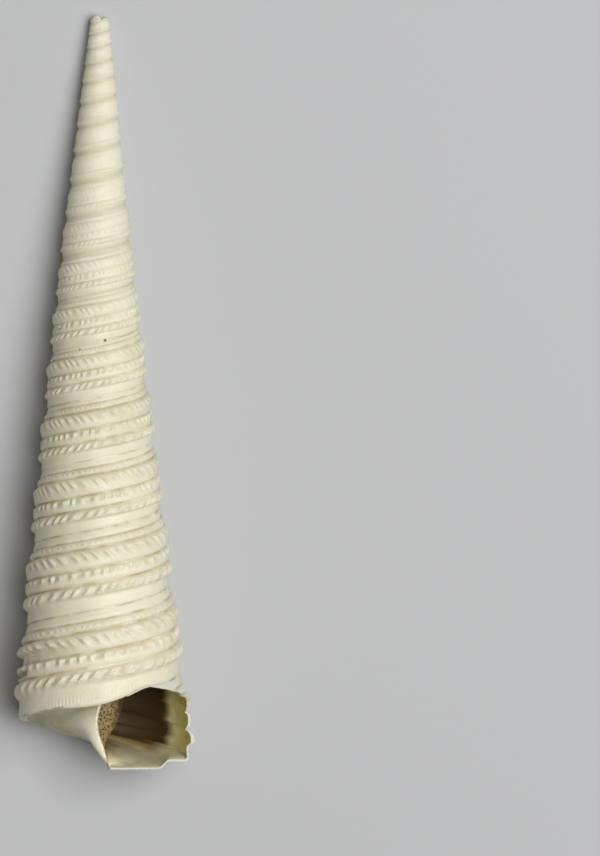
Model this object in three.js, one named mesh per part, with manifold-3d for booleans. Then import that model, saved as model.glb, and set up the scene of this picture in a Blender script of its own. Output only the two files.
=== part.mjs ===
// A turritella fossil: one tall, many-whorled snail shell lying on its side with its mouth up.
// Millimetres, +Z up. The tip points to +Y and a little down, so the cone rests on its side.
//
// The shell is first made in its own frame: X to the right, Y from the mouth to the tip, Z
// towards the viewer, axis on Y. "Distance" is measured along the axis from the point where
// the cone's sides would meet. "Angle" turns about the axis, 0 at the front (+Z) and 90 to
// the right (+X). A spiral line keeps its "turn": its distance shrinks by one GROWTH per
// full turn of the angle. Turn 0 is the shoulder edge of the last whorl.

import * as THREE from "three";
import { mergeVertices } from "three/addons/utils/BufferGeometryUtils.js";
import Module from "manifold-3d";

const wasm = await Module();
wasm.setup();

// Driving dimensions
const GROWTH = 1.134; // each whorl is this much larger than the one before
const CONE_SLOPE = 0.111; // mean radius per distance
const CONE_SHIFT = -0.024; // mean radius at distance 0
const TIP_DISTANCE = 5.68; // the tip is broken off here
const LIP_DISTANCE = 56.08; // lowest edge of the mouth
const EDGE_START = 57.945; // distance of the shoulder edge at angle 0, if it went on so far
const EDGE_LOWEST = 55.4; // the shoulder edge levels out here, beside the mouth
const LEVEL_WIDTH = 1.2;

// How the shell lies: leaning by half the cone's angle, on a small worn flat
const LEAN = 6.39; // degrees
const AXIS_HEIGHT = 6.24; // height of the axis over the floor, at LIP_DISTANCE
const ORIGIN_X = 0.14; // from the axis to the middle of the shell
const ORIGIN_Y = 25.047; // from the axis at LIP_DISTANCE to the middle of the shell

// Relief of one whorl as [phase, part of the mean radius]. Phase runs from 0 at the seam
// with the whorl before to 1 at the seam with the next one.
const EDGE_PHASE = 0.95; // the shoulder edge, just above the seam
const LOWER_RELIEF = [
  [0.26, 0.05],
  [0.43, -0.02],
  [0.51, 0.03],
  [0.61, -0.02],
  [0.74, 0.042],
  [0.85, -0.04],
  [EDGE_PHASE, -0.08],
];
const UPPER_RELIEF = [
  [0.3, 0.01],
  [0.75, 0.045],
  [EDGE_PHASE, -0.05],
];
const LOWER_SIDES = 32;
const UPPER_SIDES = 20;
const SPIRE_DISTANCE = 19; // between the whorls with every cord and those with few
const SPIRE_OVERLAP = 0.3;

// Base of the last whorl, and the pillar under it as [radius, distance of its surface]
const BASE_SAG = 0.2; // the base reaches this much beyond the shoulder edge
const SAG_FROM = 0.64; // as parts of the shoulder edge's radius
const SAG_TO = 0.84;
const BASE_RINGS = [0.84, 0.74, 0.64, 0.48, 0.38, 0.3, 0.22, 0.15, 0.08, 0.05];
const PILLAR = [
  [0.2, 56.0],
  [0.27, 55.26],
  [0.4, 54.52],
  [0.75, 53.85],
  [1.2, 52.85],
  [1.7, 51.9],
  [2.4, 50.9],
  [3.4, 49.6],
  [4.5, 47],
];
const PILLAR_FILLET = 1;
const PILLAR_BEND = 0.8; // the pillar's end leans this far to the right
const BEND_START = 54.3; // distance
const BEND_INNER = 0.6; // radii between which the lean fades out
const BEND_OUTER = 2.4;

// Hollow of the mouth
const STEP_ANGLE = 20; // the last whorl is made from this angle on, then cut back to its lip
const HOLLOW_END = 300; // angle
const WALL = 0.3;
const CLEARANCE = 0.04; // keeps a cut off the faces that it runs along
const HOLLOW_SIDES = 26;
const OUTSIDE = 9; // beyond the shell on every side
const LIP = [
  // [distance, how far the lip's edge stands in front of the axis]
  [49.6, 4.6],
  [50.3, 3.94],
  [50.65, 2.47],
  [51.1, 1.14],
  [51.5, 0.3],
  [52.3, -0.3],
  [53.4, -0.5],
  [54.7, 0.0],
  [55.5, 0.45],
  [57, 0.8],
];

const SHELL_COLOUR = 0xe9e3cf;

const { clamp, degToRad, lerp, smoothstep } = THREE.MathUtils;

const distanceAt = (turn, angle) => EDGE_START * GROWTH ** (turn - angle / 360);
const meanRadius = (distance) => CONE_SLOPE * distance + CONE_SHIFT;

function smoothMin(a, b, width) {
  const share = clamp(0.5 + (b - a) / (2 * width), 0, 1);
  return lerp(b, a, share) - width * share * (1 - share);
}

const smoothMax = (a, b, width) => -smoothMin(-a, -b, width);

// Value at x of a line through [x, y] points in order of x, level beyond its ends.
function along(points, x) {
  for (let i = 1; i < points.length; i++) {
    const [x0, y0] = points[i - 1];
    const [x1, y1] = points[i];
    if (x <= x1) return lerp(y0, y1, clamp((x - x0) / (x1 - x0), 0, 1));
  }
  return points[points.length - 1][1];
}

// Distance of the shoulder edge, which levels out beside the mouth.
const edgeDistance = (angle) => smoothMin(distanceAt(0, angle), EDGE_LOWEST, LEVEL_WIDTH);

// Distance of the base's surface, with the pillar that comes out of its middle.
function baseDistance(angle, radius) {
  const edge = edgeDistance(angle);
  const share = radius / ((1 + along(LOWER_RELIEF, EDGE_PHASE)) * meanRadius(edge));
  const sagged = Math.min(distanceAt(0, angle) + BASE_SAG, LIP_DISTANCE);
  const base = lerp(sagged, edge, smoothstep(share, SAG_FROM, SAG_TO));
  return Math.min(smoothMax(base, along(PILLAR, radius), PILLAR_FILLET), LIP_DISTANCE);
}

// Distance of a row along the spiral. The last whorl's rows close up where its edge does.
function rowDistance(turn, angle) {
  const raw = distanceAt(turn, angle);
  if (turn <= -EDGE_PHASE) return raw;
  const seam = distanceAt(-EDGE_PHASE, angle);
  const closing = Math.log(edgeDistance(angle) / seam) / Math.log(distanceAt(0, angle) / seam);
  return seam * (raw / seam) ** closing;
}

// Point of the shell's own frame from an angle, a radius and a distance.
function place(angle, radius, distance) {
  const turned = degToRad(angle);
  const bend = PILLAR_BEND * smoothstep(distance, BEND_START, LIP_DISTANCE);
  const inner = 1 - smoothstep(radius, BEND_INNER, BEND_OUTER);
  return [
    radius * Math.sin(turned) + bend * inner,
    LIP_DISTANCE - distance,
    radius * Math.cos(turned),
  ];
}

function toManifold(geometry) {
  geometry.deleteAttribute("normal");
  geometry.deleteAttribute("uv");
  const merged = mergeVertices(geometry, 1e-5);
  const index = merged.index.array;
  const kept = [];
  for (let i = 0; i < index.length; i += 3) {
    const [a, b, c] = [index[i], index[i + 1], index[i + 2]];
    if (a !== b && b !== c && c !== a) kept.push(a, b, c);
  }
  return new wasm.Manifold(
    new wasm.Mesh({
      numProp: 3,
      vertProperties: new Float32Array(merged.attributes.position.array),
      triVerts: new Uint32Array(kept),
    }),
  );
}

// A surface of rows of corners. A strip faces the side where its second row lies to the right
// when its rows run down.
class Surface {
  corners = [];
  triangles = [];

  row(points) {
    const first = this.corners.length;
    this.corners.push(...points);
    return points.map((_, i) => first + i);
  }

  strip(a, b) {
    for (let i = 0; i + 1 < a.length; i++) {
      this.triangles.push(a[i], a[i + 1], b[i + 1], a[i], b[i + 1], b[i]);
    }
  }

  fan(middle, row) {
    for (let i = 0; i + 1 < row.length; i++) this.triangles.push(row[i + 1], row[i], middle);
  }

  toSolid() {
    const geometry = new THREE.BufferGeometry();
    const position = new THREE.Float32BufferAttribute(this.corners.flat(), 3);
    geometry.setAttribute("position", position);
    geometry.setIndex(this.triangles);
    return toManifold(geometry);
  }
}

// Solid between slices, each a near and a far row of as many points.
function betweenSlices(slices) {
  const surface = new Surface();
  const rows = slices.map(([near, far]) => [surface.row(near), surface.row(far)]);
  const around = ([near, far]) => [...near, ...far.toReversed(), near[0]];
  for (let i = 0; i + 1 < rows.length; i++) surface.strip(around(rows[i]), around(rows[i + 1]));
  const [firstNear, firstFar] = rows[0];
  const [lastNear, lastFar] = rows[rows.length - 1];
  surface.strip(firstFar, firstNear);
  surface.strip(lastNear, lastFar);
  return surface.toSolid();
}

const placeAll = (section, angle) => section.map(([r, distance]) => place(angle, r, distance));

// Rows of a relief over all whorls between two distances, and more at each end.
function reliefRows(relief, from, to) {
  const whorlAt = (distance) => Math.log(distance / EDGE_START) / Math.log(GROWTH);
  const lastWhorl = Math.min(Math.floor(whorlAt(to)) + 2, 0);
  const rows = [];
  for (let whorl = Math.floor(whorlAt(from)); whorl <= lastWhorl; whorl++) {
    for (const [phase, height] of relief) rows.push([whorl + phase - EDGE_PHASE, height]);
  }
  return rows;
}

// The outside of the whorls at one angle as [radius, distance] points, cut off level at both
// ends. An inset moves it in, and also lifts the shoulder edges, which have whole turns.
function side(rows, angle, from, to, inset = 0) {
  return rows.map(([turn, height]) => {
    const distance = clamp(rowDistance(turn, angle), from, to);
    const relief = distance > from && distance < to ? height : 0;
    const lift = Number.isInteger(turn) ? inset : 0;
    return [meanRadius(distance) * (1 + relief) - inset, distance - lift];
  });
}

// The spire above the whorls that have every cord.
function spire() {
  const to = SPIRE_DISTANCE + SPIRE_OVERLAP;
  const rows = reliefRows(UPPER_RELIEF, TIP_DISTANCE, to);
  const surface = new Surface();
  let before = null;
  for (let i = 0; i <= UPPER_SIDES; i++) {
    const angle = (i * 360) / UPPER_SIDES;
    const section = [[0, TIP_DISTANCE], ...side(rows, angle, TIP_DISTANCE, to), [0, to]];
    const column = surface.row(placeAll(section, angle));
    if (before) surface.strip(before, column);
    before = column;
  }
  return surface.toSolid();
}

// The lower whorls and the base. The last whorl starts as a flat step at STEP_ANGLE. An
// inset makes the same body with its sides and its base moved in.
function body(inset) {
  const rows = reliefRows(LOWER_RELIEF, SPIRE_DISTANCE, EDGE_START);
  const surface = new Surface();
  const columns = [];
  for (let i = 0; i <= LOWER_SIDES; i++) {
    const angle = STEP_ANGLE + (i * 360) / LOWER_SIDES;
    const section = [[0, SPIRE_DISTANCE]];
    section.push(...side(rows, angle, SPIRE_DISTANCE, LIP_DISTANCE, inset));
    const edgeRadius = section[section.length - 1][0];
    for (const ring of BASE_RINGS) {
      const radius = ring * edgeRadius;
      section.push([radius, baseDistance(angle, radius) - inset]);
    }
    section.push([0, LIP_DISTANCE - inset]);
    columns.push(surface.row(placeAll(section, angle)));
  }
  for (let i = 0; i < LOWER_SIDES; i++) surface.strip(columns[i], columns[i + 1]);
  const edgeRow = rows.length;
  const [first, last] = [columns[0], columns[LOWER_SIDES]];
  surface.fan(last[edgeRow + 1], first.slice(edgeRow - LOWER_RELIEF.length, edgeRow + 2));
  surface.strip(last.slice(edgeRow + 1), first.slice(edgeRow + 1));
  return surface.toSolid();
}

// All space under the base of the whorl before the last, outside the pillar.
function underOldBase() {
  const slices = [];
  for (let i = 0; i <= HOLLOW_SIDES; i++) {
    const angle = lerp(STEP_ANGLE - 1, HOLLOW_END, i / HOLLOW_SIDES);
    const oldAngle = angle + 360;
    const edge = edgeDistance(oldAngle);
    const radii = [0, ...BASE_RINGS.toReversed(), 1].map((ring) => ring * meanRadius(edge));
    const near = radii.map((r) => [r, baseDistance(oldAngle, r) + CLEARANCE]);
    near.push([OUTSIDE, edge + CLEARANCE]);
    const far = near.map(([r]) => [r, LIP_DISTANCE + OUTSIDE]);
    slices.push([placeAll(near, angle), placeAll(far, angle)]);
  }
  return betweenSlices(slices);
}

// All space in front of the lip, from the axis to the right.
function beforeLip() {
  const slice = (x) => [
    LIP.map(([distance, front]) => [x, LIP_DISTANCE - distance, front]),
    LIP.map(([distance]) => [x, LIP_DISTANCE - distance, OUTSIDE]),
  ];
  return betweenSlices([slice(OUTSIDE), slice(0)]);
}

function shell() {
  const hollow = underOldBase().intersect(body(WALL).add(beforeLip()));
  return body(0).add(spire()).subtract(hollow);
}

// From the shell's own frame to where it lies.
function lay(solid) {
  const pose = new THREE.Matrix4()
    .makeTranslation(-ORIGIN_X, -ORIGIN_Y, AXIS_HEIGHT)
    .multiply(new THREE.Matrix4().makeRotationX(-degToRad(LEAN)));
  const floor = new THREE.BoxGeometry(4 * OUTSIDE, 16 * OUTSIDE, OUTSIDE);
  floor.translate(0, 0, -OUTSIDE / 2);
  return solid.transform(pose.elements).subtract(toManifold(floor));
}

function toMesh(name, solid, colour) {
  const { numProp, vertProperties, triVerts } = solid.getMesh();
  const geometry = new THREE.BufferGeometry();
  geometry.setAttribute("position", new THREE.BufferAttribute(vertProperties, numProp));
  geometry.setIndex(new THREE.BufferAttribute(triVerts, 1));
  geometry.computeVertexNormals();
  const material = new THREE.MeshStandardMaterial({ color: colour, roughness: 0.6 });
  const mesh = new THREE.Mesh(geometry, material);
  mesh.name = name;
  return mesh;
}

const fossil = new THREE.Group();
fossil.add(toMesh("shell", lay(shell()), SHELL_COLOUR));

export default fossil;
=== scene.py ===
"""A turritella fossil: a long, many-whorled shell lying on its side with its mouth up.

The shell is built in millimetres in its own frame, X to the right, Y from the mouth to the
tip and Z towards the viewer, with its axis on Y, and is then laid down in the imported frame.
"Distance" runs along the axis from the point where the cone's sides would meet. "Angle"
turns about the axis, 0 at the front and 90 to the right. A spiral line keeps its "turn".
"Phase" runs from 0 at the seam above a whorl to 1 at the seam below it.
"""

import math

import bpy
import numpy as np
from mathutils import Matrix, Vector


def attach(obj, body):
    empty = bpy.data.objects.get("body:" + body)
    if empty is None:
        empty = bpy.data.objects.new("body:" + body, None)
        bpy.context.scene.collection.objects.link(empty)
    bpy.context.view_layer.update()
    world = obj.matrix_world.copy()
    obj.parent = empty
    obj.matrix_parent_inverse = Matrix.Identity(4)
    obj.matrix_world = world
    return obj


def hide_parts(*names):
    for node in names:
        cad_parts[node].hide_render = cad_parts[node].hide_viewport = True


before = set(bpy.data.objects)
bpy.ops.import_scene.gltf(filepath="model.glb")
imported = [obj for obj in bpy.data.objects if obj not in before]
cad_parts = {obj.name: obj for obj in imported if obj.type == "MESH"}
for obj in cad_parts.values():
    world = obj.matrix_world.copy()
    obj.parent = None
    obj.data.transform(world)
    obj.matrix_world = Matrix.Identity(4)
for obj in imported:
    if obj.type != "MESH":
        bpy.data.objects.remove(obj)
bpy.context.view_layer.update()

MM = 0.001


def colour(red, green, blue):
    """A colour from sRGB values out of 255."""
    parts = [part / 255 for part in (red, green, blue)]
    return [p / 12.92 if p < 0.04045 else ((p + 0.055) / 1.055) ** 2.4 for p in parts] + [1]


# The spiral and the cone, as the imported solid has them
GROWTH = 1.134  # each whorl is this much larger than the one before
CONE_SLOPE = 0.111
CONE_SHIFT = -0.024
SWAY = [  # how far the bent axis lies to the right, by distance
    (5.9, 0.05),
    (9.5, 0.01),
    (13.3, -0.03),
    (17.0, -0.08),
    (20.6, -0.105),
    (26.7, -0.12),
    (30.2, -0.07),
    (34.7, 0.0),
    (39.0, 0.05),
    (43.4, 0.125),
    (47.4, 0.17),
    (50.7, 0.24),
    (54.0, 0.25),
]
SWAY_REACH = (0.25, 0.8)  # parts of the radius between which the sway sets in
TIP_DISTANCE = 5.68
LIP_DISTANCE = 56.08
EDGE_START = 57.945  # distance of turn 0 at the front
EDGE_LOWEST = 55.6  # where the last whorl's edge levels out, and how softly
LEVEL_WIDTH = 1.2
EDGE_PHASE = 0.95
STEP_ANGLE = 20  # where the mesh's columns begin and end
EDGE_WAVES = [(357, 24, 0.30), (395, 13, -0.22)]  # where the last edge dips: angle, width, depth
EDGE_WAVE_WIDTH = 0.07  # turns

# Chips on the last whorl's left: angle, half angle, its soft part, phases and floor
CHIPS = [
    (270, 28, 3, 0.487, 0.545, -0.090),
    (275, 75, 50, 0.300, 0.425, -0.042),
]
CHIP_TOP_EDGE = (-0.004, 0.004)  # phases over which a chip starts and ends
CHIP_LOW_EDGE = (0.008, -0.006)
CHIP_RAGGED = [(0.005, 0.9), (0.003, 2.3)]  # waves of its edges: phase, and rate by the angle

# How the shell lies
LEAN = math.radians(6.39)
AXIS_HEIGHT = 6.24
ORIGIN_X = 0.14
ORIGIN_Y = 25.047
POSE = Matrix.Translation((-ORIGIN_X, -ORIGIN_Y, AXIS_HEIGHT)) @ Matrix.Rotation(-LEAN, 4, "X")

# Relief of a whorl, as parts of the mean radius, by phase: near the tip, midway, at the mouth
RELIEF = [
    (0.000, -0.066, -0.062, -0.046),
    (0.020, -0.062, -0.052, -0.038),
    (0.040, -0.055, -0.046, -0.034),
    (0.055, -0.048, -0.050, -0.040),
    (0.068, -0.038, -0.058, -0.050),
    (0.082, -0.032, -0.038, -0.026),
    (0.105, -0.022, -0.012, 0.006),
    (0.125, -0.016, -0.006, 0.010),
    (0.155, -0.012, -0.010, 0.002),
    (0.168, -0.012, -0.032, -0.022),
    (0.180, -0.012, -0.048, -0.046),
    (0.191, -0.010, -0.026, -0.022),
    (0.205, -0.004, 0.008, 0.010),
    (0.230, 0.002, 0.040, 0.036),
    (0.262, 0.010, 0.062, 0.052),
    (0.300, 0.012, 0.056, 0.046),
    (0.340, 0.010, 0.042, 0.034),
    (0.390, 0.002, 0.020, 0.018),
    (0.428, -0.004, 0.004, 0.006),
    (0.442, -0.010, -0.018, -0.020),
    (0.452, -0.012, -0.034, -0.042),
    (0.463, -0.008, -0.014, -0.014),
    (0.485, -0.005, 0.008, 0.020),
    (0.510, -0.004, 0.014, 0.030),
    (0.550, -0.005, 0.008, 0.022),
    (0.608, -0.006, 0.000, 0.006),
    (0.624, -0.006, -0.018, 0.000),
    (0.635, -0.004, -0.040, -0.020),
    (0.645, 0.003, -0.014, -0.052),
    (0.656, 0.010, 0.004, -0.016),
    (0.690, 0.026, 0.026, 0.028),
    (0.735, 0.042, 0.042, 0.044),
    (0.765, 0.040, 0.036, 0.038),
    (0.785, 0.030, 0.010, 0.010),
    (0.800, 0.014, -0.020, -0.026),
    (0.825, -0.004, -0.034, -0.040),
    (0.870, -0.022, -0.038, -0.042),
    (0.905, -0.034, -0.038, -0.040),
    (0.925, -0.050, -0.038, -0.042),
    (0.940, -0.056, -0.040, -0.054),
    (0.950, -0.060, -0.042, -0.068),
    (0.960, -0.063, -0.048, -0.056),
    (0.985, -0.066, -0.072, -0.048),
    (1.000, -0.066, -0.062, -0.046),
]
RELIEF_DISTANCES = (13.0, 28.0, 42.0)
RELIEF_SAMPLES = 1000
RELIEF_BLUR = 0.005  # phase
GROOVES = (0.068, 0.180, 0.452, 0.642)
SEAM_PHASES = (0.985, 0.952)  # where the seam runs, midway and at the mouth

# The cords move up the whorl as the shell grows: how far by phase, and how much by distance
CORD_DRIFT = [(0.0, 0.0), (0.19, 0.0), (0.29, 0.03), (0.45, 0.07), (0.70, 0.09), (0.93, 0.0)]
DRIFT_GROWTH = [
    (28, -0.42),
    (33, -0.3),
    (38, -0.22),
    (42.5, 0.15),
    (45, 0.3),
    (48, 0.45),
    (50.5, 0.8),
    (52.5, 0.4),
    (54, 0.2),
]

# Beads on the cords: phase, half width in phase, beads a whorl, depth as part of the radius
BEADED_CORDS = [
    (0.120, 0.026, 61, 0.016),
    (0.280, 0.075, 39, 0.029),
    (0.510, 0.042, 39, 0.035),
    (0.735, 0.060, 38, 0.035),
]
BEADS_FADE = (8.0, 30.0)  # distances between which they grow to full depth
BEADS_AT_LIP = 0.35  # part of that depth where the wall is thinnest
BEAD_STRAY = 0.22  # parts of a bead that it strays by, in a long and a short wave of beads
BEAD_STRAY_RATE = 0.61
BEAD_SHORT_STRAY = 0.13
BEAD_SHORT_RATE = 1.7
BEAD_POWER = 4  # the higher, the narrower the beads and the wider the gaps
BEAD_UNEVEN = 0.3  # how much the gaps' depth varies
BEAD_WINDOW = 1.6  # the higher, the closer the gaps keep to the cord's middle
GROWTH_LINE_MIDDLE = 0.52  # phase where a growth line bows furthest to the right
GROWTH_LINE_BOW = 130  # degrees per phase squared

# Small swellings and dents of the outside: height, size, and where they grow to full height
SWELLING = 0.03
SWELLING_SIZE = 2.6
SWELLING_FADE = (8, 20)
DENT = 0.012
DENT_SIZE = 0.7

# Base and pillar
BASE_SAG = 0.3  # how far the base hangs below the spiral line
SAG_FROM = 0.68  # parts of the radius between which the base runs into the edge
SAG_TO = 0.80
SAG_BLEND = 0.8
PILLAR = [
    (0.20, 56.00),
    (0.27, 55.26),
    (0.34, 54.52),
    (0.64, 53.85),
    (1.20, 52.85),
    (1.70, 51.90),
    (2.40, 50.90),
    (3.40, 49.60),
    (4.50, 47.00),
]
PILLAR_FILLET = 1.8
PILLAR_BLUR = 0.3
PILLAR_SAMPLES = 9
THREAD_HEIGHT = 0.022  # of the base's threads, which fade in and out between these radii
THREAD_SPACING = 0.52
THREADS_START = (2.0, 3.0)
THREADS_END = (5.4, 4.8)
PILLAR_BEND = 0.68
BEND_START = 53.9
BEND_INNER = 0.6
BEND_OUTER = 2.4

# Hollow of the mouth
LIP_WALL = 0.13
WALL = 0.42
WALL_ANGLES = (95, 165)  # between which the wall thickens
BASE_WALL = 0.65  # the base's thickness, as a part of the wall's
INSET_START = 0.85  # phase from which the inside's rows also draw away from the edge
INSIDE_LEVEL = 0.012  # relief above this shows less on the wall's inner side
INSIDE_SHARE = 0.35
INSIDE_TOP = 42.0  # distance
HOLLOW_START = -25
HOLLOW_END = 238
HOLLOW_RADIUS = 6.4
FLOOR_RISE = 0.25  # how far the mouth's floor rises from front to back, and over what depth
FLOOR_FRONT = 0.6
FLOOR_REACH = 0.6
CALLUS = 0.07  # thickness of the enamel over the old base
COLUMN = [  # radius of the pillar inside the hollow, by distance
    (46.0, 3.6),
    (48.2, 2.7),
    (49.2, 1.95),
    (50.2, 1.52),
    (51.2, 1.34),
    (52.2, 1.20),
    (52.8, 1.02),
    (53.3, 0.84),
    (53.8, 0.58),
    (54.5, 0.28),
    (55.2, 0.18),
    (56.0, 0.12),
    (60.0, 0.10),
]
COLUMN_BULGE = 0.3  # how much further it reaches to the right
COLUMN_SLIT = 1  # degrees that each half of it stops short of the other
CRUST_END = 54.1  # distance where the column's sand ends, and how softly
CRUST_FADE = 0.5
CRUST_GRAIN = 0.05
COARSE_GRAIN = 0.16
FINE_GRAIN = 0.09
FINE_SHARE = 0.6
GRAIN_LEVEL = 0.2
MOUTH_EDGE = [  # how far right of the axis the mouth begins, by distance
    (50.9, 0.45),
    (51.4, 0.22),
    (51.8, 0.06),
    (52.4, -0.09),
    (53.0, -0.13),
    (53.5, -0.07),
    (54.0, 0.06),
    (54.6, 0.28),
    (55.5, 0.52),
    (56.2, 0.72),
]
MOUTH_REACH = (40, 62)  # distances that the cut beside the mouth's edge spans
LIP = [  # height of the lip's edge above the axis, by distance
    (49.60, 4.60),
    (50.30, 3.94),
    (50.65, 2.47),
    (51.10, 1.14),
    (51.50, 0.30),
    (52.30, -0.30),
    (53.40, -0.50),
    (54.70, 0.00),
    (55.50, 0.45),
    (57.00, 0.80),
]
LIP_JITTER = 0.06
LIP_JITTER_SIZE = 0.45
LIP_LEFT = -0.3  # how far past the axis the cut along the lip reaches
OUTSIDE = 9  # well clear of the shell
TIP_RIM = [  # drop of the broken tip's rim, from left to right
    (-1.0, 0.26),
    (-0.7, 0.07),
    (-0.35, 0.0),
    (-0.05, 0.06),
    (0.18, 0.30),
    (0.4, 0.18),
    (0.75, 0.15),
    (1.0, 0.36),
]
TIP_HOLLOW = 0.25  # depth

# Mesh density
COLUMNS = 432
ROWS = 72  # a whorl
WHORLS = 20
INSIDE_COLUMNS = 240
INSIDE_ROWS = 40
INSIDE_WHORLS = 4
BASE_ROWS = 70
HOLLOW_SLICES = 150
HOLLOW_RINGS = 90
COLUMN_SLICES = 280
COLUMN_SIDES = 90
MOUTH_SLICES = 220
LIP_SLICES = 160
CREASES = (0.0, 0.068, 0.180, 0.452, 0.642, 0.80, 0.95)  # where rows crowd together
CREASE_WIDTH = 0.022  # phase
CROWDED_ROWS = 2.2  # density of the rows at a crease, and what all have
EVEN_ROWS = 0.6
ROW_SAMPLES = 2001
CAP_START = 0.9  # rows above this part of the top's distance all lie in its middle
CAP_WIDTH = 0.95  # radius of the top's flat part, as a part of the cone's
WHORL_MARGIN = 1e-9  # turns, so that a row on a seam belongs to the whorl below it
MOST_TRIANGLES = 190_000
SHARP_ANGLE = math.radians(45)

# Where the materials change, in millimetres unless said otherwise
SPIRAL_MAP = "spiral"
OUTSIDE_PART = 0.88  # part of the radius outside which a vertex counts as outside
BASE_PART = 0.86  # part of the radius inside which a face counts as base
GROWN = (16.0, 34.0)  # distances between which grooves, hollows and seam take on dirt, and grooves and hollows painted shade
GROOVE_WIDTH = 0.011  # phase
DEEP_SHARE = 0.4  # dirt and painted shade in other hollows, and how deep they are, as parts of the radius
DEEP_LEVEL = 0.004
DEEP_SPREAD = (-0.015, 0.012)
SEAM_SPREAD = (0.014, 0.003)  # phase
UPPER_SEAM_SHADE = 0.33  # painted shade on the seam near the tip: how dark, and how wide in phase
UPPER_SEAM_SHADE_WIDTH = 0.09
BACK_DIRT_AND_SHADE = 0.5  # part of the grooves' dirt and painted shade that is left on the back
FRONT = (-0.7, 0.1)  # cosines of the angle between which back becomes front
THIN_ANGLES = (160, 110)
THIN_DISTANCES = (49.2, 50.2)
DEEP_INSIDE = (122, 132)  # angles between which the inside turns from painted light to dark brown and painted shade
COLUMN_SHADE = (3.4, 2.6)  # radii
CORNER = (3.4, 4.7)  # X between which the floor's brown line ends
FLOOR_LINE = 0.60  # how far the floor starts above the last edge
FLOOR_DEPTH = 1.2
JAGGED = [(0.25, 0.5, 8), (0.12, 0.2, 9)]  # noise of the crust's edge: height, size and seed
CRUST_RADIUS = 1.8  # and how much more where the back wall meets the floor
CRUST_SPILL = 2.2
SPILL_WIDTH = 0.45
CRUST_SOFT = 0.3
CRUST_STOP = (55.1, 54.4)  # distances
CRUST_SHADE = (0.9, 1.7)  # X between which the crust turns dark with painted shade
RIM_SPREAD = (0.11, 0.04)
RIM_RADIUS = 2.2  # the rim shows outside this radius or below this distance
RIM_DISTANCE = 54.8
ENAMEL_SPREAD = (0.16, 0.05)
RIBBED = (49.5, 50.8)  # distances
SMALLEST_RADIUS = 0.3
SMALLEST_DISTANCE = 1

# Looks of the shell. Phases past 1 lie on the base and reach 2 at the axis
SHELL_ROUGHNESS = 0.45
CREAM = colour(230, 224, 198)
PALE_CREAM = colour(235, 231, 208)
GREY_CREAM = colour(214, 209, 184)
# dirt in the grooves, with painted shade in the grooves and hollows
GROOVE_DIRT_AND_SHADE = colour(190, 177, 137)
# dirt in the seam, and the colour of the painted shade on the seams near the tip
SEAM_DIRT_AND_SHADE = colour(176, 163, 124)
# stain and painted shade on the base, which faces away from the light
BASE_STAIN_AND_SHADE = colour(172, 171, 126)
STAIN_AND_SHADE_START = (1.0, 1.08)
STAIN_AND_SHADE_END = (1.85, 1.55)
ENAMEL = colour(247, 242, 218)
ENAMEL_PHASES = (1.72, 1.9)
TRANSLUCENCE = 0.6
LIGHT_RADIUS = (1.0, 0.8, 0.5)  # how far each colour of light goes, as parts of the depth
LIGHT_DEPTH = 0.6
RIBS = 130  # fine ribs round a whorl, just above its lower seam
RIBS_START = (0.84, 0.87)
RIBS_END = (0.95, 0.93)
RIB_SHARE = 0.6  # parts that ribs and grain have in the fine relief
GRAIN_SHARE = 0.7
LINE_STRETCH = (420.0, 3.0, 0.0)  # growth lines and threads: features a turn and a phase
THREAD_STRETCH = (6.0, 55.0, 0.0)
FINE_RELIEF = 0.02
SPECK_BROWN = colour(96, 84, 44)
RUST = colour(200, 165, 112)
SPECKS = [  # angle, distance, radius and colour
    (-57.5, 26.55, 0.07, SPECK_BROWN),
    (12.0, 27.25, 0.085, SPECK_BROWN),
    (-22.5, 27.87, 0.055, SPECK_BROWN),
    (201.0, 33.1, 0.07, SPECK_BROWN),
    (218.5, 33.95, 0.10, RUST),
    (220.4, 37.4, 0.10, RUST),
]
SPECK_OUTER = 1.6  # parts of a speck's radius between which it fades
SPECK_INNER = 0.6

# Looks of the mouth
MOUTH_ROUGHNESS = 0.55
# painted light: the wall's inner side by the lip, lit as if through the thin shell
LIT_OLIVE = colour(243, 234, 174)
BEIGE = colour(243, 237, 202)
# brown of the floor's line along the back wall, partly painted shade
FLOOR_BROWN_AND_SHADE = colour(146, 124, 72)
# dark brown of the inside, also the painted shade deep in the mouth and on the crust's right
DARK_BROWN_AND_SHADE = colour(72, 54, 23)
BROWN_START = (0.02, 0.2)  # parts of the floor's depth between which it turns brown, then beige; the brown is partly painted shade along the back wall
BROWN_END = (0.14, 0.85)
CRUST = colour(146, 128, 82)
PORE = colour(64, 47, 22)
PORE_SPACING = 0.18
PORE_EDGE = (0.26, 0.48)  # parts of the spacing
MOUTH_RELIEF = 0.03

# Studio
FLOOR_COLOUR = colour(188, 189, 191)
FLOOR_ROUGHNESS = 0.7
FLOOR_SIZE = 3.0
WORLD_COLOUR = (1.0, 0.97, 0.92, 1.0)
WORLD_STRENGTH = 0.11
SHELL_MIDDLE = Vector((0, 0, 0.006))
LIGHT_DISTANCE = 0.6
LIGHTS = [  # name, direction, watts, size and tint
    ("key", (0.36, 0.155, 0.92), 3.85, 0.4, (1, 1, 1)),
    ("fill", (-0.85, -0.1, 0.45), 0.12, 0.4, (1.0, 0.9, 0.75)),
    ("rim", (1.0, -0.1, 0.15), 0.08, 0.2, (0.9, 0.95, 1.0)),
]
SENSOR = 36.0
CAMERA_DISTANCE = 1.0
CAMERA_TILT = math.radians(9.39)
CAMERA_ROLL = math.radians(0.16)
PHOTO_WIDTH = 600
PHOTO_HEIGHT = 856
PIXELS_PER_MM = 14.967
PIXEL_SHIFT = 69  # how many pixels above the photo the distances start
AXIS_PIXEL = 98.36  # column of the axis in the photo

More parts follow.
